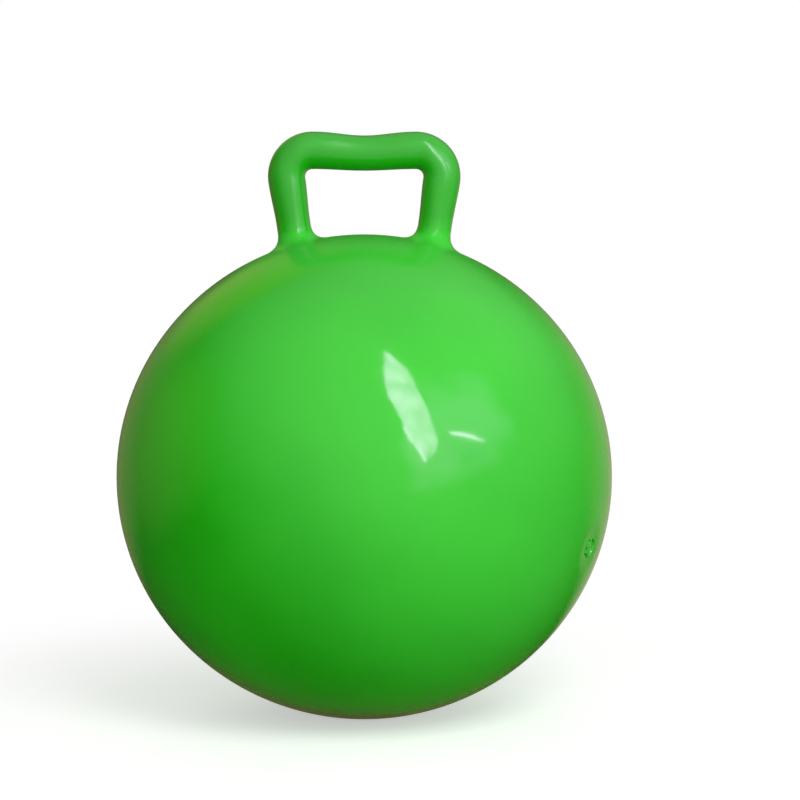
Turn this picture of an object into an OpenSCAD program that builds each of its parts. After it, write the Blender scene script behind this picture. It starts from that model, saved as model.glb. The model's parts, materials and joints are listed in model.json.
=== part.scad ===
// Hopper ball: an inflated vinyl ball with a hollow hand loop on top and a push-in air valve low on its side.
// The ball rests on the ground at the origin, the loop stands in the XZ plane and the front faces -Y.

/* [Ball] */
// Width of the inflated ball across its middle
ball_w = 450; // [360:1:650]
// Height of the inflated ball before it settles on the ground
ball_h = 440; // [360:1:650]
// Thickness of the vinyl skin
skin_t = 1.2; // [0.8:0.1:2.5]
// Diameter of the patch that flattens against the ground
patch_d = 70; // [40:1:120]

/* [Hand loop] */
// Height of the loop's shoulders above the top of the ball
loop_rise = 92.5; // [80:0.5:140]
// Outside width of the loop across its shoulders
loop_w = 174; // [155:0.5:220]
// Distance between the posts where their centre lines meet the ball
foot_spacing = 123; // [100:1:160]
// Thickness of the grip bar at its middle
bar_d = 31.5; // [24:0.5:36]
// How far the grip bar dips between the shoulders
bar_dip = 2.5; // [0:0.5:8]
// Thickness of the loop round its shoulders
shoulder_d = 33.5; // [26:0.5:38]
// Radius of the loop's centre line round its shoulders
shoulder_r = 23.5; // [22:0.5:32]
// Thickness of the posts above their feet
post_d = 30.5; // [24:0.5:36]
// Radius that blends each post into the ball
foot_fillet = 12; // [8:0.5:18]
// Wall of the hollow loop
loop_wall = 3; // [1.5:0.1:5]

/* [Valve] */
// Turn of the valve round the ball, from the front towards the right
valve_turn = 65; // [0:1:359]
// Angle of the valve below the middle of the ball
valve_drop = 14; // [0:1:40]
// Diameter of the shallow dish in the skin round the valve
dish_d = 34; // [26:0.5:50]
// Depth of the dish below its rim
dish_sink = 1; // [0.5:0.1:2]
// Wall of the skin behind the dish
pad_wall = 2; // [1.5:0.1:4]
// Width of the thick ring of skin outside the dish
pad_rim = 4; // [2:0.5:8]
// Outside diameter of the valve seat where it passes through the skin
seat_d = 17; // [16:0.5:22]
// Diameter of the flange that holds the seat behind the skin
flange_d = 27; // [24:0.5:36]
// Thickness of that flange
flange_t = 2; // [1:0.1:4]
// Length of the seat's sleeve behind its flange
sleeve_l = 14; // [8:0.5:24]
// Wall of the sleeve
sleeve_wall = 2; // [1:0.1:3]
// Bore of the seat
bore_d = 9.6; // [8:0.1:11]
// Diameter of the stopper's head
head_d = 14; // [13:0.5:15]
// Thickness of the stopper's head
head_t = 2; // [1:0.1:3]
// How far the head stands out of its recess in the seat
head_proud = 0.4; // [0.2:0.1:0.6]
// Length of the stopper's shank
shank_l = 18; // [10:0.5:26]
// Bore of the stopper's hollow shank
hollow_d = 5; // [3:0.5:5.5]
// Height of the sealing ribs above the shank
rib_h = 0.6; // [0.3:0.1:0.8]
// Width of each sealing rib
rib_w = 1.4; // [0.8:0.1:2]
// Number of sealing ribs
ribs = 3; // [1:1:4]

/* [Hidden] */

// Clearances: a bonded joint, the stopper in its bore and the stopper's head in its recess
bond_gap = 0.05;
running_gap = 0.05;
head_gap = 0.3;
// How far every cut runs past what it cuts
overrun = 5;
// Colours
skin_green = [0.25, 0.74, 0.21];
seat_green = [0.18, 0.60, 0.17];
stopper_green = [0.36, 0.78, 0.33];
// Sides of the round shapes, and rings along each stretch of the loop
ball_sides = 128;
valve_sides = 64;
ring_sides = 32;
bar_steps = 8;
shoulder_steps = 9;
post_steps = 3;
fillet_steps = 6;
seat_steps = 3;
// Turn of the foot fillet before it ends in a thin lip, and the stretch of post kept clear above the fillet
fillet_turn = 70;
clear_post_share = 0.2;
// Shank: taper at its tip, place of the ribs along it and how far its hollow goes
tip_taper_share = 0.75;
ribs_start_share = 0.2;
ribs_end_share = 0.8;
hollow_share = 0.85;
// Chamfer on the stopper's head
head_chamfer_share = 0.3;

// Ball: half width, half height, how deep the ground cuts it and the height of its centre and top
ball_r = ball_w / 2;
ball_c = ball_h / 2;
patch_depth = ball_c * (1 - sqrt(1 - pow(patch_d / ball_w, 2)));
centre_z = ball_c - patch_depth;
top_z = centre_z + ball_c;

// Loop: centre of the right shoulder, foot of the right post on the ball, and the tangent between them
shoulder_x = (loop_w - shoulder_d) / 2 - shoulder_r;
shoulder_z = top_z + loop_rise - shoulder_d / 2 - shoulder_r;
foot_x = foot_spacing / 2;
foot_z = centre_z + ball_c * sqrt(1 - pow(foot_x / ball_r, 2));
foot_reach = norm([foot_x - shoulder_x, foot_z - shoulder_z]);
post_lean = atan2(foot_z - shoulder_z, foot_x - shoulder_x) + acos(shoulder_r / foot_reach);
post_out = [cos(post_lean), 0, sin(post_lean)];
post_up = [-sin(post_lean), 0, cos(post_lean)];
foot = [foot_x, 0, foot_z];
post_l = sqrt(pow(foot_reach, 2) - pow(shoulder_r, 2));
straight_l = post_l - foot_fillet - post_d * clear_post_share;
port_r = post_d / 2 - loop_wall;

// Valve: its place on the ball, its outward direction and the depths below that place
valve_pos = [
    ball_r * cos(valve_drop) * sin(valve_turn),
    -ball_r * cos(valve_drop) * cos(valve_turn),
    centre_z - ball_c * sin(valve_drop)
];
valve_slope = [
    valve_pos.x / pow(ball_r, 2),
    valve_pos.y / pow(ball_r, 2),
    (valve_pos.z - centre_z) / pow(ball_c, 2)
];
valve_out = valve_slope / norm(valve_slope);
dish_r = dish_d / 2;
dish_ball_r = (pow(dish_r, 2) + pow(dish_sink, 2)) / (2 * dish_sink);
seat_top = -(ball_r - sqrt(pow(ball_r, 2) - pow(dish_r, 2))) - dish_sink;
pad_back = seat_top - pad_wall;
pad_r = dish_r + pad_rim;
flange_front = pad_back - bond_gap;
flange_back = flange_front - flange_t;
sleeve_end = flange_back - sleeve_l;
recess_r = head_d / 2 + head_gap;
recess_floor = seat_top + head_proud - head_t - bond_gap;
head_top = seat_top + head_proud;
head_under = head_top - head_t;
shank_end = head_under - shank_l;
rib_r = bore_d / 2 - running_gap;
shank_r = rib_r - rib_h;

// Ellipsoid of the ball, with its skin moved out or in by a distance
module ball_form(offset_by) {
    r = ball_r + offset_by;
    translate([0, 0, centre_z])
        scale([1, 1, (ball_c + offset_by) / r])
            sphere(r = r, $fn = ball_sides);
}

// Everything above a height, wide enough for the ball
module above(height) {
    translate([-ball_w, -ball_w, height])
        cube([2 * ball_w, 2 * ball_w, 2 * ball_h]);
}

// Children moved from the origin to the valve, with +Z pointing out of the ball
module at_valve() {
    translate(valve_pos)
        rotate([0, acos(valve_out.z), atan2(valve_out.y, valve_out.x)])
            children();
}

// Air passage from the ball into the right post
module air_port() {
    translate(foot - (skin_t + overrun) * post_up)
        rotate([0, -post_lean, 0])
            cylinder(h = 2 * (skin_t + overrun), r = port_r, $fn = valve_sides);
}

// Hollow shell on its ground patch, open into both posts, with a thick pad, a dish and a hole for the valve
module ball_skin() color(skin_green) {
    difference() {
        intersection() {
            ball_form(0);
            above(0);
        }
        difference() {
            intersection() {
                ball_form(-skin_t);
                above(skin_t);
            }
            at_valve()
                translate([0, 0, pad_back])
                    cylinder(h = overrun - pad_back, r = pad_r, $fn = valve_sides);
        }
        at_valve()
            translate([0, 0, seat_top + dish_ball_r])
                sphere(r = dish_ball_r, $fn = ball_sides);
        at_valve()
            translate([0, 0, pad_back - overrun])
                cylinder(h = 2 * overrun - pad_back, r = seat_d / 2, $fn = valve_sides);
        air_port();
        mirror([1, 0, 0])
            air_port();
    }
}

// Smooth change from one value to another as t goes from 0 to 1
function ease(from, to, t) = from + (to - from) * (1 - cos(180 * t)) / 2;

// Ring of points round a centre line point, whose outward direction lies in the XZ plane
function ring(centre, out, r) = [
    for (i = [0 : ring_sides - 1])
        let (turn = 360 * i / ring_sides)
            centre + r * (cos(turn) * out + [0, sin(turn), 0])
];

// Point where a line along the right post from a given point leaves the ball
function on_ball(point) =
    let (size = [ball_r, ball_r, ball_c])
    let (p = [point.x / size.x, point.y / size.y, (point.z - centre_z) / size.z])
    let (d = [post_up.x / size.x, post_up.y / size.y, post_up.z / size.z])
    let (half = p * d / (d * d))
        point + (sqrt(half * half - (p * p - 1) / (d * d)) - half) * post_up;

// Ring that follows the ball round the right foot, lifted along the post
function foot_ring(r, lift) = [
    for (point = ring(foot, post_out, r))
        on_ball(point) + lift * post_up
];

// Right half of the loop, from the middle of the bar to the top of the foot, thinned by a wall
function bar_rings(wall) = [
    for (i = [0 : bar_steps])
        let (t = i / bar_steps)
        let (tilt = atan(bar_dip * PI / 2 / shoulder_x * sin(180 * t)))
        let (z = shoulder_z + shoulder_r - ease(bar_dip, 0, t))
            ring([shoulder_x * t, 0, z], [-sin(tilt), 0, cos(tilt)], ease(bar_d, shoulder_d, t) / 2 - wall)
];

function shoulder_rings(wall) = [
    for (i = [1 : shoulder_steps])
        let (turn = 90 + (post_lean - 90) * i / shoulder_steps)
        let (out = [cos(turn), 0, sin(turn)])
            ring([shoulder_x, 0, shoulder_z] + shoulder_r * out, out, shoulder_d / 2 - wall)
];

function post_rings(wall) = [
    for (i = [1 : post_steps])
        let (t = i / post_steps)
        let (centre = foot + (post_l - straight_l * t) * post_up)
            ring(centre, post_out, ease(shoulder_d, post_d, t) / 2 - wall)
];

function tube_rings(wall) = concat(bar_rings(wall), shoulder_rings(wall), post_rings(wall));

// Foot of the right post: its fillet, then the seat on the ball from the lip in to the air passage
function fillet_rings() = [
    for (i = [0 : fillet_steps])
        let (turn = fillet_turn * i / fillet_steps)
            foot_ring(post_d / 2 + foot_fillet * (1 - cos(turn)), foot_fillet * (1 - sin(turn)) + bond_gap)
];

function seat_rings() =
    let (lip_r = post_d / 2 + foot_fillet * (1 - cos(fillet_turn)))
    [
        for (i = [0 : seat_steps])
            foot_ring(lip_r + (port_r - lip_r) * i / seat_steps, bond_gap)
    ];

function backwards(list) = [
    for (i = [len(list) - 1 : -1 : 0])
        list[i]
];

function mirrored(rings) = [
    for (one = rings)
        [for (point = one) [-point.x, point.y, point.z]]
];

// Every ring but the first and last, which lie in the loop's middle plane
function between_ends(rings) = [
    for (i = [1 : len(rings) - 2])
        rings[i]
];

// Hollow loop as one closed sheet: out along its outside, across the foot, back along its inside and round again
module hand_loop() color(skin_green) {
    right = concat(tube_rings(0), fillet_rings(), seat_rings(), backwards(tube_rings(loop_wall)));
    rings = concat(right, backwards(between_ends(mirrored(right))));
    count = len(rings);
    points = [
        for (one = rings)
            for (point = one)
                point
    ];
    faces = [
        for (i = [0 : count - 1])
            for (j = [0 : ring_sides - 1])
                let (here = i * ring_sides, next = (i + 1) % count * ring_sides, k = (j + 1) % ring_sides)
                    each [[here + j, here + k, next + k], [here + j, next + k, next + j]]
    ];
    polyhedron(points = points, faces = faces, convexity = 4);
}

// Moulded insert: a collar flush with the dish, a flange behind the skin and a sleeve that grips the stopper
module valve_seat() color(seat_green)
    at_valve()
        rotate_extrude($fn = valve_sides)
            polygon([
                [bore_d / 2, sleeve_end],
                [bore_d / 2 + sleeve_wall, sleeve_end],
                [bore_d / 2 + sleeve_wall, flange_back],
                [flange_d / 2, flange_back],
                [flange_d / 2, flange_front],
                [seat_d / 2 - bond_gap, flange_front],
                [seat_d / 2 - bond_gap, seat_top],
                [recess_r, seat_top],
                [recess_r, recess_floor],
                [bore_d / 2, recess_floor]
            ]);

// Sealing ribs down the side of the shank, as points of its profile
function rib_points() = [
    for (i = [0 : ribs - 1])
        let (t = ribs == 1 ? 0 : i / (ribs - 1))
        let (middle = head_under - shank_l * (ribs_start_share + (ribs_end_share - ribs_start_share) * t))
            each [
                [shank_r, middle + rib_w / 2],
                [rib_r, middle],
                [shank_r, middle - rib_w / 2]
            ]
];

// Push-in plug: a flat chamfered head, a hollow ribbed shank and a tapered tip
module valve_stopper() color(stopper_green) {
    chamfer = head_t * head_chamfer_share;
    hollow_end = shank_end + shank_l * hollow_share;
    at_valve()
        rotate_extrude($fn = valve_sides)
            polygon(concat(
                [
                    [0, head_top],
                    [head_d / 2 - chamfer, head_top],
                    [head_d / 2, head_top - chamfer],
                    [head_d / 2, head_under],
                    [shank_r, head_under]
                ],
                rib_points(),
                [
                    [shank_r, shank_end + rib_w],
                    [hollow_d / 2 + (shank_r - hollow_d / 2) * tip_taper_share, shank_end],
                    [hollow_d / 2, shank_end],
                    [hollow_d / 2, hollow_end],
                    [0, hollow_end]
                ]
            ));
}

ball_skin();
hand_loop();
valve_seat();
valve_stopper();
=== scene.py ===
"""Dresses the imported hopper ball: a moulded skin with its hand loop, the air valve and a plain studio."""

import json
import math

import bmesh
import bpy
import numpy as np
from bpy.props import FloatProperty, FloatVectorProperty, PointerProperty
from mathutils import Matrix, Vector


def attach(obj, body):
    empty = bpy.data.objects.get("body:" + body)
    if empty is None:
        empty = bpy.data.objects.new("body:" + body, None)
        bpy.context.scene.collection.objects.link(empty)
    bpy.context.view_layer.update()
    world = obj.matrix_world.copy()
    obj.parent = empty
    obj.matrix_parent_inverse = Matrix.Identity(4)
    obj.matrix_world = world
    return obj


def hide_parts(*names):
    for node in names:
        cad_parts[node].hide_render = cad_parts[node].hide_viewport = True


bl_info = {
    "name": "Hopper Ball",
    "version": (1, 0, 0),
    "blender": (4, 5, 0),
    "location": "3D View > Sidebar > Hopper Ball",
    "description": "Builds an inflated hopper ball with its hand loop, its air valve and a plain studio",
    "category": "Object",
}

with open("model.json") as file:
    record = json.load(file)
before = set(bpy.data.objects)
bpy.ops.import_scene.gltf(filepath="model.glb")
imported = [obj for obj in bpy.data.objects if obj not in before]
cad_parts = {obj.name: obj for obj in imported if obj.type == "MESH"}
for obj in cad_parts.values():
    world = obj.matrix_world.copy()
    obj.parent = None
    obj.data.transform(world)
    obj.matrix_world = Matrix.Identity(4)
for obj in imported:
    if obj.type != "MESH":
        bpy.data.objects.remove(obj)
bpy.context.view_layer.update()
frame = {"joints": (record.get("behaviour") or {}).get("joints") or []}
VALVE_OUT = Vector(frame["joints"][0]["axis"]).normalized()
MM = 0.001
UP = Vector((0, 0, 1))
SIDEWAYS = Vector((0, 1, 0))

# Mesh of the skin: cells along each edge of the cube it starts from, sides of the loop's tube,
# rounds of refining, and rounds and strength of the smoothing in each of those
CUBE_CELLS = 6
TUBE_SIDES = 8
REFINE_ROUNDS = 3
SMOOTH_ROUNDS = 3
SMOOTH_STRENGTH = 0.5
# Rings of the cage: radius and lift in mm round each foot, the share of the way that is still to go at each
# ring up a post, and at each ring round a shoulder or along half the bar, and radii in mm round the valve
FOOT_RINGS = ((44, 0), (33, 0), (27, 0.4), (21.5, 3), (18, 8), (16, 15))
POST_SHARES = (0.72, 0.48, 0.24, 0.0)
BEND_SHARES = (0.75, 0.5, 0.25, 0.0)
VALVE_RINGS = (45, 32, 23, 18.5, 16, 13, 11)
# Cuts beside the parting line, as multiples of its width
PARTING_CUTS = (-2.8, -1.4, -0.7, 0.7, 1.4, 2.8)
# Distances within which points are one: at the mirror, at those cuts and on turned pieces
MIRROR_MERGE = 0.1 * MM
CUT_MERGE = 0.05 * MM
TURNED_MERGE = 0.001 * MM
# Sides of the turned valve pieces
TURNED_STEPS = 64
# Gap between the pieces of the valve
VALVE_GAP = 0.05 * MM
# Angles between faces above which an edge is shaded sharp, and above which a turned edge is rounded
SHARP_ANGLE = math.radians(40)
ROUNDED_ANGLE = math.radians(25)

# Vinyl: heights between which a look comes in or goes out, counted from the top of the ball
# The crown's band also brings in its painted sheen, and the loop's band its painted shade
CROWN_IN = (-45 * MM, -15 * MM)
CROWN_OUT = (0, 4 * MM)
LOOP_IN = (-4 * MM, 20 * MM)
GRIP_IN = (6 * MM, 24 * MM)
# Vinyl: how high above the ground it is rubbed, and how strongly down there
RUB_HEIGHT = 0.10
RUB_STRENGTH = 0.3
# Vinyl: its roughness, and what the crown, the grip and rubbing add to it
VINYL_ROUGHNESS = (0.06, 0.10)
CROWN_ROUGHER = 0.16
GRIP_ROUGHER = 0.12
RUB_ROUGHER = 0.5
# Vinyl: how strongly it mirrors, and how much less the crown does
MIRROR = 0.5
CROWN_MIRRORS_LESS = 0.4
# Vinyl: its relief from coarse to fine, as size, detail and depth of the noise
VINYL_RELIEF = ((0.07, 1.5, 1.0 * MM), (0.018, 1.0, 0.06 * MM), (0.0022, 2.0, 0.012 * MM))
# Parts of a noise's range that are stretched to a full step: narrow, wide and only its high end
NARROW = (0.35, 0.65)
WIDE = (0.3, 0.7)
HIGH_END = (0.42, 0.78)


def length(name, description, default):
    return FloatProperty(
        name=name,
        description=description,
        default=default,
        min=0.0,
        precision=5,
        subtype="DISTANCE",
        unit="LENGTH",
    )


def colour(name, description, default):
    return FloatVectorProperty(
        name=name,
        description=description,
        default=default,
        min=0.0,
        max=1.0,
        size=3,
        subtype="COLOR",
    )


class HopperBallSizes(bpy.types.PropertyGroup):
    """Sizes of the ball, its hand loop and its valve"""

    ball_width: length("Ball width", "Width of the inflated ball across its middle", 450 * MM)
    ball_height: length("Ball height", "Height of the ball before it settles on the ground", 440 * MM)
    skin: length("Skin", "Thickness of the vinyl skin", 1.2 * MM)
    patch: length("Ground patch", "Diameter of the patch that flattens against the ground", 70 * MM)
    loop_rise: length("Loop rise", "Height of the loop's shoulders above the top of the ball", 92.5 * MM)
    loop_width: length("Loop width", "Outside width of the loop across its shoulders", 174 * MM)
    foot_spacing: length("Foot spacing", "Distance between the posts where they meet the ball", 123 * MM)
    bar: length("Grip bar", "Thickness of the grip bar at its middle", 31.5 * MM)
    bar_dip: length("Bar dip", "How far the grip bar dips between the shoulders", 2.5 * MM)
    shoulder: length("Shoulder", "Thickness of the loop round its shoulders", 33.5 * MM)
    shoulder_radius: length("Shoulder radius", "Radius of the centre line round the shoulders", 23.5 * MM)
    post: length("Post", "Thickness of the posts above their feet", 30.5 * MM)
    foot_fillet: length("Foot fillet", "Radius that blends each post into the ball", 12 * MM)
    pull_height: length("Pull ridge height", "Height of the ridges where the loop pulls", 1.6 * MM)
    pull_width: length("Pull ridge width", "Half width of the ridges where the loop pulls", 8 * MM)
    parting_height: length("Parting line height", "Height of the mould's parting line", 0.08 * MM)
    parting_width: length("Parting line width", "Half width of the mould's parting line", 1.2 * MM)
    dish: length("Valve dish", "Diameter of the shallow dish in the skin round the valve", 34 * MM)
    dish_sink: length("Dish depth", "Depth of the dish below its rim", 1 * MM)
    seat: length("Valve seat", "Diameter of the seat where it passes through the skin", 17 * MM)
    lip: length("Hole lip", "Radius of the soft lip round the hole for the valve seat", 0.4 * MM)
    pad_wall: length("Pad wall", "Wall of the skin behind the dish", 2 * MM)
    flange: length("Seat flange", "Diameter of the flange that holds the seat behind the skin", 27 * MM)
    flange_wall: length("Flange wall", "Thickness of the seat's flange", 2 * MM)
    sleeve: length("Sleeve length", "Length of the seat's sleeve behind its flange", 14 * MM)
    sleeve_wall: length("Sleeve wall", "Wall of the sleeve", 2 * MM)
    bore: length("Bore", "Bore of the seat", 9.6 * MM)
    head: length("Stopper head", "Diameter of the stopper's head", 14 * MM)
    head_wall: length("Head wall", "Thickness of the stopper's head", 2 * MM)
    head_proud: length("Head rise", "How far the head stands out of its recess in the seat", 0.4 * MM)
    shank: length("Shank length", "Length of the stopper's shank", 18 * MM)
    hollow: length("Shank hollow", "Bore of the stopper's hollow shank", 5 * MM)
    rib: length("Rib height", "Height of the sealing ribs above the shank", 0.6 * MM)
    rib_width: length("Rib width", "Width of each sealing rib", 1.4 * MM)


class HopperBallColours(bpy.types.PropertyGroup):
    """Colours of the ball and the studio"""

    skin: colour("Skin", "Green of the vinyl skin", (0.016, 0.53, 0.006))
    skin_light: colour("Skin, lighter", "Lighter green that drifts through the skin", (0.022, 0.58, 0.010))
    # The loop's deeper green is painted shade: it stands for the light from below that the ball keeps off
    # the loop
    loop: colour("Hand loop", "Deeper green of the loop, which stretches less", (0.013, 0.41, 0.005))
    # The crown's paler green is painted sheen: it makes up for the reflection that the crown's lesser
    # mirroring takes away
    crown: colour("Crown", "Paler green of the dusty crown", (0.05, 0.6, 0.038))
    scuffed: colour("Scuffed skin", "Dull green where the ground has rubbed the skin", (0.07, 0.44, 0.05))
    seat: colour("Valve seat", "Green of the valve seat", (0.020, 0.47, 0.010))
    stopper: colour("Stopper", "Green of the stopper", (0.030, 0.50, 0.020))
    floor: colour("Floor", "Pale floor", (0.80, 0.80, 0.79))


def smooth_least(a, b, reach):
    """Lesser of two distances, rounded where they come within reach of each other."""
    near = np.maximum(reach - np.abs(a - b), 0.0) / reach
    return np.minimum(a, b) - near * near * reach / 4


def smooth_most(a, b, reach):
    return -smooth_least(-a, -b, reach)


def ease(start, end, t):
    """Smooth change from start to end as t goes from 0 to 1."""
    return start + (end - start) * (1 - np.cos(np.pi * np.clip(t, 0, 1))) / 2


class MouldedForm:
    """Outside of the ball and its loop, as a signed distance that is below zero inside."""

    # Reach of the blend at the feet as a multiple of the fillet, and of those at the dish and the patch
    FILLET_REACH = 1.17
    DISH_RIM = 2.0 * MM
    PATCH_RIM = 1.2 * MM
    # Share of a post's thickness that stays straight above its fillet
    CLEAR_POST = 0.2
    # Pull ridges: their ends, sideways from the foot and out from the loop's plane, and how they swell
    PULL_START = (-1.5 * MM, 20 * MM)
    PULL_END = (-15 * MM, 90 * MM)
    PULL_SWELL = 2.5
    PULL_SWELL_START = 0.6
    # Steps towards the nearest point of the bar's line
    BAR_ROUNDS = 4
    # Settling: rounds, the step that slopes are measured over, and the least slope that is reckoned with
    SETTLE_ROUNDS = 8
    SLOPE_STEP = 0.01 * MM
    LEAST_SLOPE = 0.25

    def __init__(self, sizes):
        self.sizes = sizes
        half_width, half_height = sizes.ball_width / 2, sizes.ball_height / 2
        self.radii = np.array((half_width, half_width, half_height))
        settled = half_height * (1 - math.sqrt(1 - (sizes.patch / sizes.ball_width) ** 2))
        self.centre = np.array((0, 0, half_height - settled))
        self.top = float(self.centre[2] + half_height)
        self.place_loop()
        self.place_valve()

    def place_loop(self):
        s = self.sizes
        self.shoulder_x = (s.loop_width - s.shoulder) / 2 - s.shoulder_radius
        self.shoulder_z = self.top + s.loop_rise - s.shoulder / 2 - s.shoulder_radius
        foot_x = s.foot_spacing / 2
        foot_z = float(self.centre[2] + self.radii[2] * math.sqrt(1 - (foot_x / self.radii[0]) ** 2))
        reach = math.hypot(foot_x - self.shoulder_x, foot_z - self.shoulder_z)
        down = math.atan2(foot_z - self.shoulder_z, foot_x - self.shoulder_x)
        self.lean = down + math.acos(s.shoulder_radius / reach)
        self.post_length = math.sqrt(reach ** 2 - s.shoulder_radius ** 2)
        self.straight = self.post_length - s.foot_fillet - s.post * self.CLEAR_POST
        self.foot = Vector((foot_x, 0, foot_z))
        self.post_out = Vector((math.cos(self.lean), 0, math.sin(self.lean)))
        self.post_up = Vector((-math.sin(self.lean), 0, math.cos(self.lean)))

    def place_valve(self):
        s = self.sizes
        spread = self.radii ** 2 * np.array(VALVE_OUT)
        self.valve = Vector(self.centre + spread / math.sqrt(spread @ np.array(VALVE_OUT)))
        self.valve_right = UP.cross(VALVE_OUT).normalized()
        self.valve_up = VALVE_OUT.cross(self.valve_right)
        rim = s.dish / 2
        half_width = s.ball_width / 2
        self.seat_top = math.sqrt(half_width ** 2 - rim ** 2) - half_width - s.dish_sink
        self.dish_ball = (rim ** 2 + s.dish_sink ** 2) / (2 * s.dish_sink)

    def to_valve(self):
        """Matrix from a piece turned about Z to its place in the ball's wall."""
        turn = Matrix((self.valve_right, self.valve_up, VALVE_OUT)).transposed().to_4x4()
        return Matrix.Translation(self.valve) @ turn

    def beside_valve(self, place, radius, height):
        """Point at a distance from the valve's axis, on the same side of it as a place."""
        aside = place - self.valve
        aside -= aside.dot(VALVE_OUT) * VALVE_OUT
        return self.valve + radius * aside.normalized() + height * VALVE_OUT

    def dish_depth(self, radius):
        """Depth of the dish along the valve's axis, at a distance from that axis."""
        return self.seat_top + self.dish_ball - math.sqrt(self.dish_ball ** 2 - radius ** 2)

    def ball(self, points):
        offset = (points - self.centre) / self.radii
        scale = np.linalg.norm(offset, axis=1)
        return scale * (scale - 1) / np.linalg.norm(offset / self.radii, axis=1)

    def bar_line(self, x):
        """Height and slope of the bar's centre line."""
        s = self.sizes
        t = np.clip(x / self.shoulder_x, 0, 1)
        height = self.shoulder_z + s.shoulder_radius - ease(s.bar_dip, 0, t)
        slope = s.bar_dip * np.pi / 2 / self.shoulder_x * np.sin(np.pi * t)
        return height, slope

    def loop(self, points):
        s = self.sizes
        x, y, z = np.abs(points[:, 0]), points[:, 1], points[:, 2]
        from_x, from_z = x - self.shoulder_x, z - self.shoulder_z
        # Bar: foot of the perpendicular on its dipped centre line
        on_bar = np.clip(x, 0, self.shoulder_x)
        for _ in range(self.BAR_ROUNDS):
            height, slope = self.bar_line(on_bar)
            on_bar = np.clip(x + (z - height) * slope, 0, self.shoulder_x)
        height, _ = self.bar_line(on_bar)
        bar = np.sqrt((x - on_bar) ** 2 + (z - height) ** 2 + y ** 2)
        bar -= ease(s.bar, s.shoulder, on_bar / self.shoulder_x) / 2
        # Shoulder: distance to its arc
        arc = np.sqrt((np.hypot(from_x, from_z) - s.shoulder_radius) ** 2 + y ** 2) - s.shoulder / 2
        # Post: distance to its straight line, which goes on into the ball
        out = from_x * self.post_out.x + from_z * self.post_out.z - s.shoulder_radius
        down = -(from_x * self.post_up.x + from_z * self.post_up.z)
        post = np.hypot(out, y) - ease(s.shoulder, s.post, down / self.straight) / 2
        on_arc = np.arctan2(from_z, from_x) >= self.lean
        return np.where((from_x < 0) & (from_z > 0), bar, np.where(on_arc & (from_x > 0), arc, post))

    def pull(self, points):
        """Height of the soft ridges that run down and inwards from the feet, at the front and back."""
        s = self.sizes
        foot = np.array((self.foot.x, 0))
        start = foot + self.PULL_START
        line = foot + self.PULL_END - start
        flat = np.column_stack((np.abs(points[:, 0]), np.abs(points[:, 1]))) - start
        along = flat @ line / (line @ line)
        across = (flat[:, 0] * line[1] - flat[:, 1] * line[0]) / np.linalg.norm(line)
        swell = ease(0, 1, self.PULL_SWELL * along + self.PULL_SWELL_START)
        fade = np.clip(1 - along, 0, 1) ** 2 * swell
        upper = points[:, 2] > self.centre[2]
        return s.pull_height * fade * np.exp(-((across / s.pull_width) ** 2)) * upper

    def outside(self, points):
        s = self.sizes
        reach = self.FILLET_REACH * s.foot_fillet
        distance = smooth_least(self.ball(points), self.loop(points), reach)
        distance -= self.pull(points)
        dish_centre = np.array(self.valve + (self.seat_top + self.dish_ball) * VALVE_OUT)
        dish = self.dish_ball - np.linalg.norm(points - dish_centre, axis=1)
        distance = smooth_most(distance, dish, self.DISH_RIM)
        distance -= s.parting_height * np.exp(-((points[:, 1] / s.parting_width) ** 2))
        return smooth_most(distance, -points[:, 2], self.PATCH_RIM)

    def settle(self, points):
        """Moves points straight onto the outside."""
        step = self.SLOPE_STEP
        for _ in range(self.SETTLE_ROUNDS):
            here = self.outside(points)
            rises = [self.outside(points + step * axis) - here for axis in np.eye(3)]
            slope = np.column_stack(rises) / step
            steepness = np.maximum((slope * slope).sum(axis=1), self.LEAST_SLOPE)
            points = points - (here / steepness)[:, None] * slope
        return points


def grow_ring(bm, ring, places):
    """Extrudes a closed ring of vertices once and moves the new ring to its places."""
    rim = [bm.edges.get((a, b)) for a, b in zip(ring, ring[1:] + ring[:1])]
    grown = bmesh.ops.extrude_edge_only(bm, edges=rim)["geom"]
    made = {g for g in grown if isinstance(g, bmesh.types.BMVert)}
    ring = [next(e.other_vert(v) for e in v.link_edges if e.other_vert(v) in made) for v in ring]
    for v, place in zip(ring, places):
        v.co = place
    return ring


def turn_about(offset, right, up):
    """Angle of an offset, counted from right towards up."""
    return math.atan2(offset.dot(up), offset.dot(right)) % math.tau


def open_ring(bm, place, right, up):
    """Takes out the vertex nearest a place. Returns the ring round the opening, from right towards up."""
    nearest = min(bm.verts, key=lambda v: (v.co - place).length)
    ring = {v for f in nearest.link_faces for v in f.verts} - {nearest}
    ring = sorted(ring, key=lambda v: turn_about(v.co - place, right, up))
    bmesh.ops.delete(bm, geom=[nearest], context="VERTS")
    return ring


def round_places(ring, centre, right, up, radius):
    """Even places on a circle for a ring that is counted from right towards up."""
    count = len(ring)
    first = (ring[0].co - centre).dot(up) / max((ring[0].co - centre).dot(right), 1e-9)
    start = round(math.atan(first) / (math.tau / count))
    turns = [math.tau * (i + start) / count for i in range(count)]
    return [centre + radius * (math.cos(t) * right + math.sin(t) * up) for t in turns]


def piece(name, bm, material, body, slot, *nodes):
    """Makes an object of a mesh, attaches it to the body it rides on and hides the CAD nodes it stands for.
    """
    mesh = bpy.data.meshes.new(name)
    bm.to_mesh(mesh)
    bm.free()
    mesh.materials.append(material)
    mesh.shade_smooth()
    mesh.set_sharp_from_angle(angle=SHARP_ANGLE)
    obj = bpy.data.objects.new(name, mesh)
    bpy.context.scene.collection.objects.link(obj)
    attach(obj, body)
    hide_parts(*nodes)
    return obj


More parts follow.
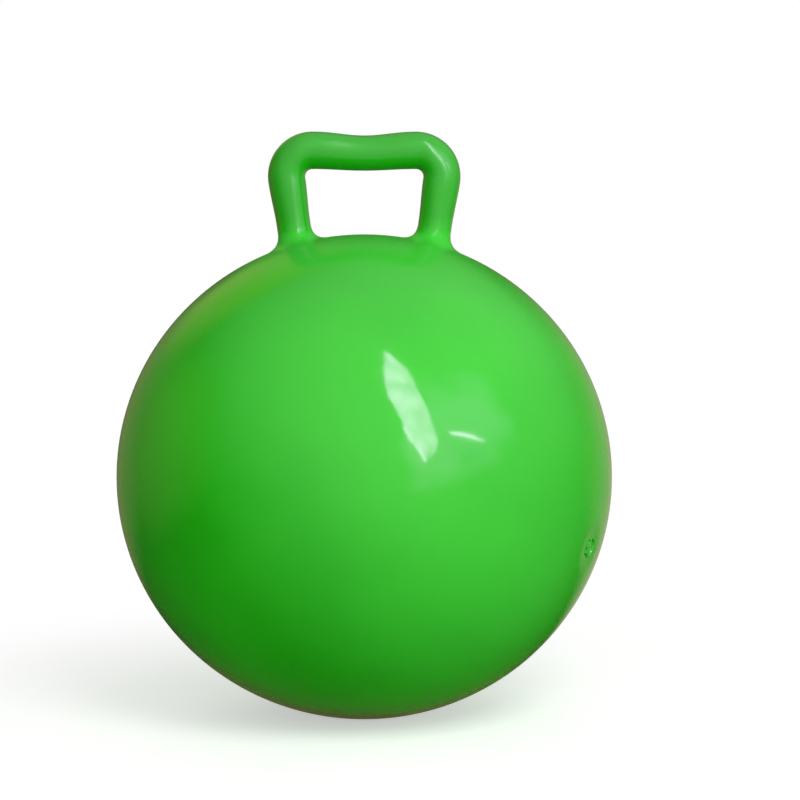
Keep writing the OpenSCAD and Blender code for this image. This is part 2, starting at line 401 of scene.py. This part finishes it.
class Nodes:
    """Node tree written as nested calls: each call adds a node and gives back one of its outputs."""

    def __init__(self, tree):
        self.tree = tree

    def feed(self, socket, value):
        if isinstance(value, bpy.types.NodeSocket):
            self.tree.links.new(value, socket)
        elif value is not None:
            socket.default_value = value

    def add(self, kind, *values, out=0, named=None, **settings):
        node = self.tree.nodes.new("ShaderNode" + kind)
        for name, value in settings.items():
            setattr(node, name, value)
        for socket, value in zip(node.inputs, values):
            self.feed(socket, value)
        for name, value in (named or {}).items():
            self.feed(node.inputs[name], value)
        return node.outputs[out]

    def place(self):
        return self.add("TexCoord", out="Object")

    def math(self, operation, a, b):
        return self.add("Math", a, b, operation=operation)

    def vector(self, operation, a, b=None, out="Vector"):
        return self.add("VectorMath", a, b, operation=operation, out=out)

    def range(self, value, low, high, to_low=0.0, to_high=1.0):
        """Smooth step of a value from one range to another."""
        return self.add("MapRange", value, low, high, to_low, to_high, interpolation_type="SMOOTHSTEP")

    def blend(self, amount, first, second):
        """Mix of two colours."""
        return self.add("Mix", amount, data_type="RGBA", named={6: first, 7: second}, out=2)

    def noise(self, size, detail=2.0, roughness=0.5, out="Fac"):
        """Noise whose features are about size metres across."""
        settings = {"Vector": self.place(), "Scale": 1 / size, "Detail": detail, "Roughness": roughness}
        return self.add("TexNoise", named=settings, out=out)

    def bump(self, height, depth, below=None):
        """Relief of depth metres from a height between 0 and 1, on top of another relief."""
        settings = {"Strength": 1.0, "Distance": depth, "Height": height, "Normal": below}
        return self.add("Bump", named=settings)


def painted(name, shade):
    """New material, whose surface is what shade makes of its nodes."""
    material = bpy.data.materials.new(name)
    material.use_nodes = True
    tree = material.node_tree
    tree.nodes.remove(tree.nodes["Principled BSDF"])
    tree.links.new(shade(Nodes(tree)), tree.nodes["Material Output"].inputs["Surface"])
    return material


def rgba(tint):
    return (*tint, 1.0)


def vinyl(colours, form):
    """Glossy moulded vinyl: a drifting green, soft waves, a duller crown and loop, painted sheen on the
    crown, painted shade on the loop, and rubbing low down.
    """

    def shade(nodes):
        height = nodes.add("SeparateXYZ", nodes.place(), out="Z")

        def above_top(low, high):
            return nodes.range(height, form.top + low, form.top + high)

        crown = nodes.math("SUBTRACT", above_top(*CROWN_IN), above_top(*CROWN_OUT))
        drift = nodes.range(nodes.noise(0.16), *NARROW)
        green = nodes.blend(drift, rgba(colours.skin), rgba(colours.skin_light))
        # Paler green on the crown: painted sheen
        green = nodes.blend(crown, green, rgba(colours.crown))
        # Deeper green above the top of the ball: painted shade on the loop
        green = nodes.blend(above_top(*LOOP_IN), green, rgba(colours.loop))
        low = nodes.range(height, 0.0, RUB_HEIGHT, RUB_STRENGTH, 0.0)
        patches = nodes.range(nodes.noise(0.014, 6.0, 0.7), *HIGH_END)
        rubbed = nodes.math("MULTIPLY", patches, low)
        green = nodes.blend(rubbed, green, rgba(colours.scuffed))
        rough = nodes.range(nodes.noise(0.05, 4.0, 0.6), *WIDE, *VINYL_ROUGHNESS)
        duller = ((crown, CROWN_ROUGHER), (above_top(*GRIP_IN), GRIP_ROUGHER), (rubbed, RUB_ROUGHER))
        for where, more in duller:
            rough = nodes.math("ADD", rough, nodes.math("MULTIPLY", where, more))
        mirror = nodes.math("SUBTRACT", MIRROR, nodes.math("MULTIPLY", crown, CROWN_MIRRORS_LESS))
        relief = None
        for size, detail, depth in VINYL_RELIEF:
            relief = nodes.bump(nodes.noise(size, detail), depth, relief)
        look = {"Base Color": green, "Roughness": rough, "Specular IOR Level": mirror, "Normal": relief}
        return nodes.add("BsdfPrincipled", named=look)

    return painted("glossy_vinyl", shade)


def soft_plastic(name, tint, roughness):
    """Satin moulded plastic with a fine grain."""

    def shade(nodes):
        worn = nodes.range(nodes.noise(0.004, 4.0, 0.6), *NARROW)
        lighter = [min(1.0, 1.15 * c + 0.01) for c in tint]
        green = nodes.blend(worn, rgba(tint), rgba(lighter))
        rough = nodes.range(nodes.noise(0.002, 3.0), *WIDE, roughness - 0.06, roughness + 0.06)
        grain = nodes.bump(nodes.noise(0.0012), 0.02 * MM)
        look = {"Base Color": green, "Roughness": rough, "Normal": grain}
        return nodes.add("BsdfPrincipled", named=look)

    return painted(name, shade)


def cube_cage(bm, form):
    """Right half of the ball as a coarse cage: a divided cube blown up to the ball's form."""
    bmesh.ops.create_cube(bm, size=2.0)
    bmesh.ops.subdivide_edges(bm, edges=bm.edges[:], cuts=CUBE_CELLS - 1, use_grid_fill=True)
    left = [v for v in bm.verts if v.co.x < -0.1 / CUBE_CELLS]
    bmesh.ops.delete(bm, geom=left, context="VERTS")
    for v in bm.verts:
        even = Vector([math.tan(c * math.pi / 4) for c in v.co]).normalized()
        v.co = Vector(form.centre) + Vector([r * c for r, c in zip(form.radii, even)])


def on_ball(form, place):
    """Point of the ball's form straight out from its centre through a place."""
    out = [(p - c) / r for p, c, r in zip(place, form.centre, form.radii)]
    return Vector(form.centre) + (place - Vector(form.centre)) / Vector(out).length


def loop_cage(bm, form):
    """Grows the right half of the loop out of the cage, from the ball to the middle of the bar."""
    s = form.sizes
    ring = open_ring(bm, form.foot, form.post_out, SIDEWAYS)
    for radius, lift in FOOT_RINGS:
        places = round_places(ring, form.foot, form.post_out, SIDEWAYS, radius * MM)
        ring = grow_ring(bm, ring, [on_ball(form, p) + lift * MM * form.post_up for p in places])
    stations = []
    for t in POST_SHARES:
        centre = form.foot + (form.post_length - form.straight * t) * form.post_up
        stations.append((centre, form.post_out, float(ease(s.shoulder, s.post, t)) / 2))
    for t in BEND_SHARES:
        turn = math.pi / 2 + (form.lean - math.pi / 2) * t
        out = Vector((math.cos(turn), 0, math.sin(turn)))
        centre = Vector((form.shoulder_x, 0, form.shoulder_z)) + s.shoulder_radius * out
        stations.append((centre, out, s.shoulder / 2))
    for t in BEND_SHARES:
        height, slope = form.bar_line(form.shoulder_x * t)
        out = Vector((-slope, 0, 1)).normalized()
        centre = Vector((form.shoulder_x * t, 0, height))
        stations.append((centre, out, float(ease(s.bar, s.shoulder, t)) / 2))
    for centre, out, radius in stations:
        turns = [math.tau * i / TUBE_SIDES for i in range(TUBE_SIDES)]
        places = [centre + radius * (math.cos(t) * out + math.sin(t) * SIDEWAYS) for t in turns]
        ring = grow_ring(bm, ring, places)


def valve_cage(bm, form):
    """Draws the cage in round the valve, down to the hole for its seat."""
    s = form.sizes
    ring = open_ring(bm, form.valve, form.valve_right, form.valve_up)
    for radius in (*[r * MM for r in VALVE_RINGS], s.seat / 2 + s.lip):
        places = round_places(ring, form.valve, form.valve_right, form.valve_up, radius)
        depth = form.dish_depth(radius) if radius < s.dish / 2 else 0
        ring = grow_ring(bm, ring, [p + depth * VALVE_OUT for p in places])


def settle_mesh(bm, form):
    """Brings every vertex onto the moulded form, and the open rim onto the round hole for the seat."""
    inner = [v for v in bm.verts if not v.is_boundary]
    for v, place in zip(inner, form.settle(np.array([v.co for v in inner], float))):
        v.co = place
    for v in bm.verts:
        if v.is_boundary:
            rim = form.sizes.seat / 2 + form.sizes.lip
            v.co = form.beside_valve(v.co, rim, form.dish_depth(rim))


class HopperBallSkin(bpy.types.Operator):
    """Models the ball and its hand loop as one hollow moulding, with a dish and a hole for the valve"""

    bl_idname = "hopper_ball.skin"
    bl_label = "Moulded skin"

    def execute(self, context):
        sizes = context.scene.hopper_ball_sizes
        form = MouldedForm(sizes)
        bm = bmesh.new()
        cube_cage(bm, form)
        loop_cage(bm, form)
        whole = bm.verts[:] + bm.edges[:] + bm.faces[:]
        bmesh.ops.mirror(bm, geom=whole, axis="X", merge_dist=MIRROR_MERGE)
        valve_cage(bm, form)
        bmesh.ops.recalc_face_normals(bm, faces=bm.faces[:])
        for _ in range(REFINE_ROUNDS):
            bmesh.ops.subdivide_edges(bm, edges=bm.edges[:], cuts=1, use_grid_fill=True)
            inner = [v for v in bm.verts if not v.is_boundary]
            for _ in range(SMOOTH_ROUNDS):
                bmesh.ops.smooth_vert(
                    bm,
                    verts=inner,
                    factor=SMOOTH_STRENGTH,
                    use_axis_x=True,
                    use_axis_y=True,
                    use_axis_z=True,
                )
            settle_mesh(bm, form)
        for offset in PARTING_CUTS:
            bmesh.ops.bisect_plane(
                bm,
                geom=bm.verts[:] + bm.edges[:] + bm.faces[:],
                dist=CUT_MERGE,
                plane_co=SIDEWAYS * offset * sizes.parting_width,
                plane_no=SIDEWAYS,
            )
        settle_mesh(bm, form)
        self.turn_rim_in(bm, form)
        bmesh.ops.recalc_face_normals(bm, faces=bm.faces[:])
        material = vinyl(context.scene.hopper_ball_colours, form)
        skin = piece("moulded_skin", bm, material, "ball", "skin", "ball_skin", "hand_loop")
        wall = skin.modifiers.new("wall", "SOLIDIFY")
        wall.thickness = sizes.skin
        wall.offset = -1.0
        return {"FINISHED"}

    def turn_rim_in(self, bm, form):
        """Turns the rim of the valve's hole in through the thick pad of skin, round a soft lip."""
        s = form.sizes
        rim = s.seat / 2 + s.lip
        top = form.dish_depth(rim)

        def place_on_rim(v):
            return turn_about(v.co - form.valve, form.valve_right, form.valve_up)

        ring = sorted([v for v in bm.verts if v.is_boundary], key=place_on_rim)
        for turn in (math.pi / 6, math.pi / 3, math.pi / 2):
            radius = rim - s.lip * math.sin(turn)
            height = top - s.lip * (1 - math.cos(turn))
            ring = grow_ring(bm, ring, [form.beside_valve(v.co, radius, height) for v in ring])
        grow_ring(bm, ring, [form.beside_valve(v.co, s.seat / 2, top - s.pad_wall) for v in ring])


def turned(profile, closed, soft_edge):
    """Mesh spun about Z from a profile of radius and height in metres, with its sharp edges rounded."""
    bm = bmesh.new()
    line = [bm.verts.new((radius, 0, height)) for radius, height in profile]
    for a, b in zip(line, line[1:] + line[:1] if closed else line[1:]):
        bm.edges.new((a, b))
    bmesh.ops.spin(
        bm,
        geom=bm.verts[:] + bm.edges[:],
        cent=(0, 0, 0),
        axis=UP,
        angle=math.tau,
        steps=TURNED_STEPS,
        use_merge=True,
    )
    bmesh.ops.remove_doubles(bm, verts=bm.verts[:], dist=TURNED_MERGE)
    bmesh.ops.recalc_face_normals(bm, faces=bm.faces[:])
    sharp = [e for e in bm.edges if e.is_manifold and e.calc_face_angle() > ROUNDED_ANGLE]
    bmesh.ops.bevel(
        bm,
        geom=sharp,
        offset=soft_edge,
        offset_type="OFFSET",
        segments=2,
        profile=0.5,
        affect="EDGES",
        material=-1,
        clamp_overlap=True,
    )
    return bm


class HopperBallSeat(bpy.types.Operator):
    """Models the insert in the wall: a collar flush with the dish, a flange behind the skin and a sleeve"""

    bl_idname = "hopper_ball.seat"
    bl_label = "Valve seat"

    HEAD_CLEARANCE = 0.3 * MM
    SOFT_EDGE = 0.15 * MM
    ROUGHNESS = 0.18

    def execute(self, context):
        s = context.scene.hopper_ball_sizes
        form = MouldedForm(s)
        top = form.seat_top
        flange = top - s.pad_wall - VALVE_GAP
        recess = top + s.head_proud - s.head_wall - VALVE_GAP
        head = s.head / 2 + self.HEAD_CLEARANCE
        profile = (
            (s.bore / 2, flange - s.flange_wall - s.sleeve),
            (s.bore / 2 + s.sleeve_wall, flange - s.flange_wall - s.sleeve),
            (s.bore / 2 + s.sleeve_wall, flange - s.flange_wall),
            (s.flange / 2, flange - s.flange_wall),
            (s.flange / 2, flange),
            (s.seat / 2 - VALVE_GAP, flange),
            (s.seat / 2 - VALVE_GAP, top),
            (head, top),
            (head, recess),
            (s.bore / 2, recess),
        )
        bm = turned(profile, True, self.SOFT_EDGE)
        bmesh.ops.transform(bm, matrix=form.to_valve(), verts=bm.verts[:])
        tint = context.scene.hopper_ball_colours.seat
        material = soft_plastic("seat_vinyl", tint, self.ROUGHNESS)
        piece("seat_insert", bm, material, "ball", "seat", "valve_seat")
        return {"FINISHED"}


class HopperBallStopper(bpy.types.Operator):
    """Models the push-in stopper: a flat head, a hollow shank with sealing ribs and a tapered tip"""

    bl_idname = "hopper_ball.stopper"
    bl_label = "Valve stopper"

    # Shares: ribs and hollow along the shank, chamfer of the head's wall, and wall left at the tip
    RIB_SHARES = (0.2, 0.5, 0.8)
    HOLLOW_SHARE = 0.85
    CHAMFER_SHARE = 0.3
    TIP_SHARE = 0.75
    SOFT_EDGE = 0.12 * MM
    ROUGHNESS = 0.20

    def execute(self, context):
        s = context.scene.hopper_ball_sizes
        form = MouldedForm(s)
        top = form.seat_top + s.head_proud
        under = top - s.head_wall
        end = under - s.shank
        rib = s.bore / 2 - VALVE_GAP
        shank = rib - s.rib
        chamfer = self.CHAMFER_SHARE * s.head_wall
        hollow = s.hollow / 2
        hollow_top = end + self.HOLLOW_SHARE * s.shank
        profile = [(0, top), (s.head / 2 - chamfer, top), (s.head / 2, top - chamfer)]
        profile += [(s.head / 2, under), (shank, under)]
        for share in self.RIB_SHARES:
            middle = under - s.shank * share
            half = s.rib_width / 2
            profile += [(shank, middle + half), (rib, middle), (shank, middle - half)]
        profile += [
            (shank, end + s.rib_width),
            (hollow + self.TIP_SHARE * (shank - hollow), end),
            (hollow, end),
            (hollow, hollow_top),
            (0, hollow_top),
        ]
        bm = turned(profile, False, self.SOFT_EDGE)
        bmesh.ops.transform(bm, matrix=form.to_valve(), verts=bm.verts[:])
        tint = context.scene.hopper_ball_colours.stopper
        material = soft_plastic("stopper_plastic", tint, self.ROUGHNESS)
        piece("push_stopper", bm, material, "stopper", "stopper", "valve_stopper")
        return {"FINISHED"}


def towards(azimuth, elevation):
    """Direction at an azimuth, counted from the front to the right, and an elevation, both in degrees."""
    turn, tilt = math.radians(azimuth), math.radians(elevation)
    return Vector((math.sin(turn) * math.cos(tilt), -math.cos(turn) * math.cos(tilt), math.sin(tilt)))


def seen(nodes):
    """Output that is 1 for rays from the camera, reflections and clear materials, and 0 for the rest."""
    names = ("Is Camera Ray", "Is Glossy Ray", "Is Transmission Ray")
    camera, glossy, clear = [nodes.add("LightPath", out=name) for name in names]
    return nodes.math("MAXIMUM", nodes.math("MAXIMUM", camera, glossy), clear)


class HopperBallStage(bpy.types.Operator):
    """Sets the pale floor, the white surround, the soft lamps and the camera"""

    bl_idname = "hopper_ball.stage"
    bl_label = "Stage"

    CAMERA_DISTANCE = 2.0
    CAMERA_ELEVATION = 6.5
    CAMERA_LENS = 98.4
    AIM_RIGHT = 32.4 * MM
    AIM_UP = 69.3 * MM
    # Level of the surround, which is white where it is seen
    AMBIENT = 0.28
    # Floor: its size, its own glow near the ball, the distances over which it turns white, and the tint of
    # the light that it throws back
    FLOOR_SIZE = 24.0
    FLOOR_GLOW = 0.62
    FLOOR_FADE = (0.2, 0.65)
    FLOOR_BOUNCE = (0.52, 0.51, 0.50)
    # Room: its radius, how far its foot stays above the floor, its dim side, and its bright side with the
    # way to it and how it fades
    ROOM_RADIUS = 4.0
    ROOM_LIFT = 0.4 * MM
    ROOM_DIM = (0.05, 0.04, 0.026)
    ROOM_BRIGHT = (1.38, 1.40, 1.34)
    ROOM_WAY = towards(30, 45)
    ROOM_FADE = (-0.35, 1.0)
    # Glows of the room: size of the noise that their edges stray by, then for each its way, its spread in
    # degrees, how far its edge strays and its colour
    STRAY_SIZE = 0.8
    ROOM_GLOWS = (
        (towards(180, -80), 50, 0.0, (0.16, 0.10, 0.06)),
        (towards(-138, 8), 38, 0.0, (0.30, 0.24, 0.14)),
        (towards(144, -10), 38, 0.0, (0.50, 0.46, 0.32)),
        (towards(-151, 37), 25, 0.0, (0.58, 0.58, 0.20)),
        (towards(-97, 10), 32, 0.0, (0.42, 0.32, 0.17)),
        (towards(49, 27), 25, 0.08, (2.7, 2.3, 3.1)),
        (towards(32, 15), 20, 0.08, (2.8, 2.3, 3.0)),
    )
    # Cards that only reflections show: their distance and tint, the size of their patches and the shares of
    # the level that these have, then for each its corners as azimuth and elevation, and its level
    CARD_DISTANCE = 2.2
    CARD_TINT = (1.0, 0.74, 1.1)
    CARD_PATCHES = 0.25
    CARD_UNEVEN = (0.7, 1.1)
    CARDS = {
        "window": (
            (
                (17.5, 65), (22, 62), (24.5, 48), (29.5, 20),
                (27, 13.5), (18.5, 25.5), (12, 41), (12, 52),
            ),
            11.0,
        ),
        "second_window": (
            (
                (22.5, 61.5), (28.5, 54), (32.5, 31), (33.2, 20.5),
                (31.6, 16.5), (28, 13.8), (29.4, 20), (24.7, 48),
            ),
            10.0,
        ),
        "window_frame": (((16.5, 29), (26.5, 13), (25, 13.2), (18.5, 22.5)), 16.0),
        "sill": (((38.5, 24.6), (50, 21.1), (56, 16.8), (51, 19.0), (41, 23.0)), 22.0),
    }
    # Lamps: place, size and watts
    LAMPS = {
        "window_lamp": ((0.49, -1.17, 1.20), 0.7, 10),
        "fill_lamp": ((0.30, -2.40, 1.20), 2.8, 24),
        "side_lamp": ((2.20, -0.80, 0.50), 1.2, 10),
        "back_lamp": ((-0.40, 2.40, 1.30), 2.2, 18),
    }

    def execute(self, context):
        scene = context.scene
        scene.view_settings.view_transform = "Standard"
        self.centre = Vector(MouldedForm(scene.hopper_ball_sizes).centre)
        self.add_camera(scene)
        self.add_floor(scene)
        self.add_surround(scene)
        self.add_room(scene)
        self.add_cards(scene)
        self.add_lamps(scene)
        return {"FINISHED"}

    def add_camera(self, scene):
        way = towards(0, self.CAMERA_ELEVATION)
        place = self.centre + self.CAMERA_DISTANCE * way
        right = SIDEWAYS.cross(UP)
        aim = self.centre + self.AIM_RIGHT * right + self.AIM_UP * way.cross(right)
        data = bpy.data.cameras.new("camera")
        data.lens = self.CAMERA_LENS
        camera = bpy.data.objects.new("camera", data)
        camera.location = place
        camera.rotation_mode = "QUATERNION"
        camera.rotation_quaternion = (aim - place).to_track_quat("-Z", "Y")
        scene.collection.objects.link(camera)
        scene.camera = camera

    def add_card(self, scene, name, bm, material, only_reflected=False):
        mesh = bpy.data.meshes.new(name)
        bm.to_mesh(mesh)
        bm.free()
        mesh.materials.append(material)
        card = bpy.data.objects.new(name, mesh)
        if only_reflected:
            card.visible_camera = card.visible_shadow = False
            card.visible_diffuse = card.visible_transmission = False
        scene.collection.objects.link(card)

    def add_floor(self, scene):
        """Pale floor that keeps the shadow near the ball and turns white further out."""
        tint = rgba(scene.hopper_ball_colours.floor)

        def shade(nodes):
            glow = nodes.add("Emission", tint, self.FLOOR_GLOW)
            near = nodes.add("AddShader", nodes.add("BsdfDiffuse", tint), glow)
            white = nodes.add("Emission", rgba((1, 1, 1)), 1.0)
            far = nodes.range(nodes.vector("LENGTH", nodes.place(), out="Value"), *self.FLOOR_FADE)
            shown = nodes.add("MixShader", far, near, white)
            bounce = nodes.add("BsdfDiffuse", rgba(self.FLOOR_BOUNCE))
            return nodes.add("MixShader", seen(nodes), bounce, shown)

        bm = bmesh.new()
        bmesh.ops.create_grid(bm, x_segments=1, y_segments=1, size=self.FLOOR_SIZE / 2)
        self.add_card(scene, "floor", bm, painted("pale_floor", shade))

    def add_surround(self, scene):
        scene.world = bpy.data.worlds.new("surround")
        scene.world.use_nodes = True
        tree = scene.world.node_tree
        nodes = Nodes(tree)
        ambient = tree.nodes["Background"]
        ambient.inputs["Color"].default_value = rgba((1, 1, 1))
        ambient.inputs["Strength"].default_value = self.AMBIENT
        white = nodes.add("Background", rgba((1, 1, 1)), 1.0)
        shown = nodes.add("MixShader", seen(nodes), ambient.outputs[0], white)
        tree.links.new(shown, tree.nodes["World Output"].inputs["Surface"])

    def add_room(self, scene):
        """Room that only reflections show: bright up in front and to the right, dim elsewhere."""

        def shade(nodes):
            way = nodes.vector("NORMALIZE", nodes.vector("SUBTRACT", nodes.place(), self.centre))
            noise = nodes.noise(self.STRAY_SIZE, 1.0, out="Color")
            drift = nodes.vector("SUBTRACT", noise, (0.5, 0.5, 0.5))
            near = nodes.vector("DOT_PRODUCT", way, self.ROOM_WAY, out="Value")
            bright = nodes.range(near, *self.ROOM_FADE)
            tint = nodes.blend(bright, rgba(self.ROOM_DIM), rgba(self.ROOM_BRIGHT))
            for aim, spread, stray, glow in self.ROOM_GLOWS:
                strayed = nodes.vector("ADD", way, nodes.vector("MULTIPLY", drift, [stray] * 3))
                near = nodes.vector("DOT_PRODUCT", strayed, aim, out="Value")
                edge = math.cos(math.radians(spread))
                tint = nodes.blend(nodes.range(near, edge, 1.0), tint, rgba(glow))
            return nodes.add("Emission", tint, 1.0)

        bm = bmesh.new()
        bmesh.ops.create_uvsphere(bm, u_segments=48, v_segments=24, radius=self.ROOM_RADIUS)
        for v in bm.verts:
            v.co.z = max(v.co.z, self.ROOM_LIFT)
        self.add_card(scene, "room", bm, painted("room_light", shade), only_reflected=True)

    def add_cards(self, scene):
        """Bright windows that only reflections show, each a flat card that faces the ball."""
        for name, (corners, level) in self.CARDS.items():

            def shade(nodes):
                low, high = [share * level for share in self.CARD_UNEVEN]
                uneven = nodes.range(nodes.noise(self.CARD_PATCHES, 3.0), *WIDE, low, high)
                return nodes.add("Emission", rgba(self.CARD_TINT), uneven)

            ways = [towards(*corner) for corner in corners]
            middle = sum(ways, Vector()).normalized()
            places = [self.centre + way * self.CARD_DISTANCE / way.dot(middle) for way in ways]
            bm = bmesh.new()
            bm.faces.new([bm.verts.new(place) for place in places])
            self.add_card(scene, name, bm, painted(name + "_light", shade), only_reflected=True)

    def add_lamps(self, scene):
        """Soft lamps that face the ball and aren't reflected in it."""
        for name, (place, size, watts) in self.LAMPS.items():
            data = bpy.data.lights.new(name, "AREA")
            data.size = size
            data.energy = watts
            lamp = bpy.data.objects.new(name, data)
            lamp.location = place
            lamp.rotation_mode = "QUATERNION"
            lamp.rotation_quaternion = (Vector(place) - self.centre).to_track_quat("Z", "Y")
            lamp.visible_camera = lamp.visible_glossy = False
            scene.collection.objects.link(lamp)


class HopperBallPanel(bpy.types.Panel):
    """Sizes, colours and steps of the hopper ball"""

    bl_idname = "VIEW3D_PT_hopper_ball"
    bl_label = "Hopper Ball"
    bl_space_type = "VIEW_3D"
    bl_region_type = "UI"
    bl_category = "Hopper Ball"

    def draw(self, context):
        layout = self.layout
        for operator in STEPS:
            layout.operator(operator.bl_idname)
        for group in (context.scene.hopper_ball_sizes, context.scene.hopper_ball_colours):
            box = layout.box()
            for name in group.__annotations__:
                box.prop(group, name)


STEPS = (HopperBallSkin, HopperBallSeat, HopperBallStopper, HopperBallStage)
CLASSES = (HopperBallSizes, HopperBallColours, *STEPS, HopperBallPanel)


def register():
    for cls in CLASSES:
        bpy.utils.register_class(cls)
    bpy.types.Scene.hopper_ball_sizes = PointerProperty(type=HopperBallSizes)
    bpy.types.Scene.hopper_ball_colours = PointerProperty(type=HopperBallColours)


def unregister():
    del bpy.types.Scene.hopper_ball_colours
    del bpy.types.Scene.hopper_ball_sizes
    for cls in reversed(CLASSES):
        bpy.utils.unregister_class(cls)


def main():
    register()
    bpy.ops.hopper_ball.skin()
    bpy.ops.hopper_ball.seat()
    bpy.ops.hopper_ball.stopper()
    bpy.ops.hopper_ball.stage()


if __name__ == "__main__":
    main()
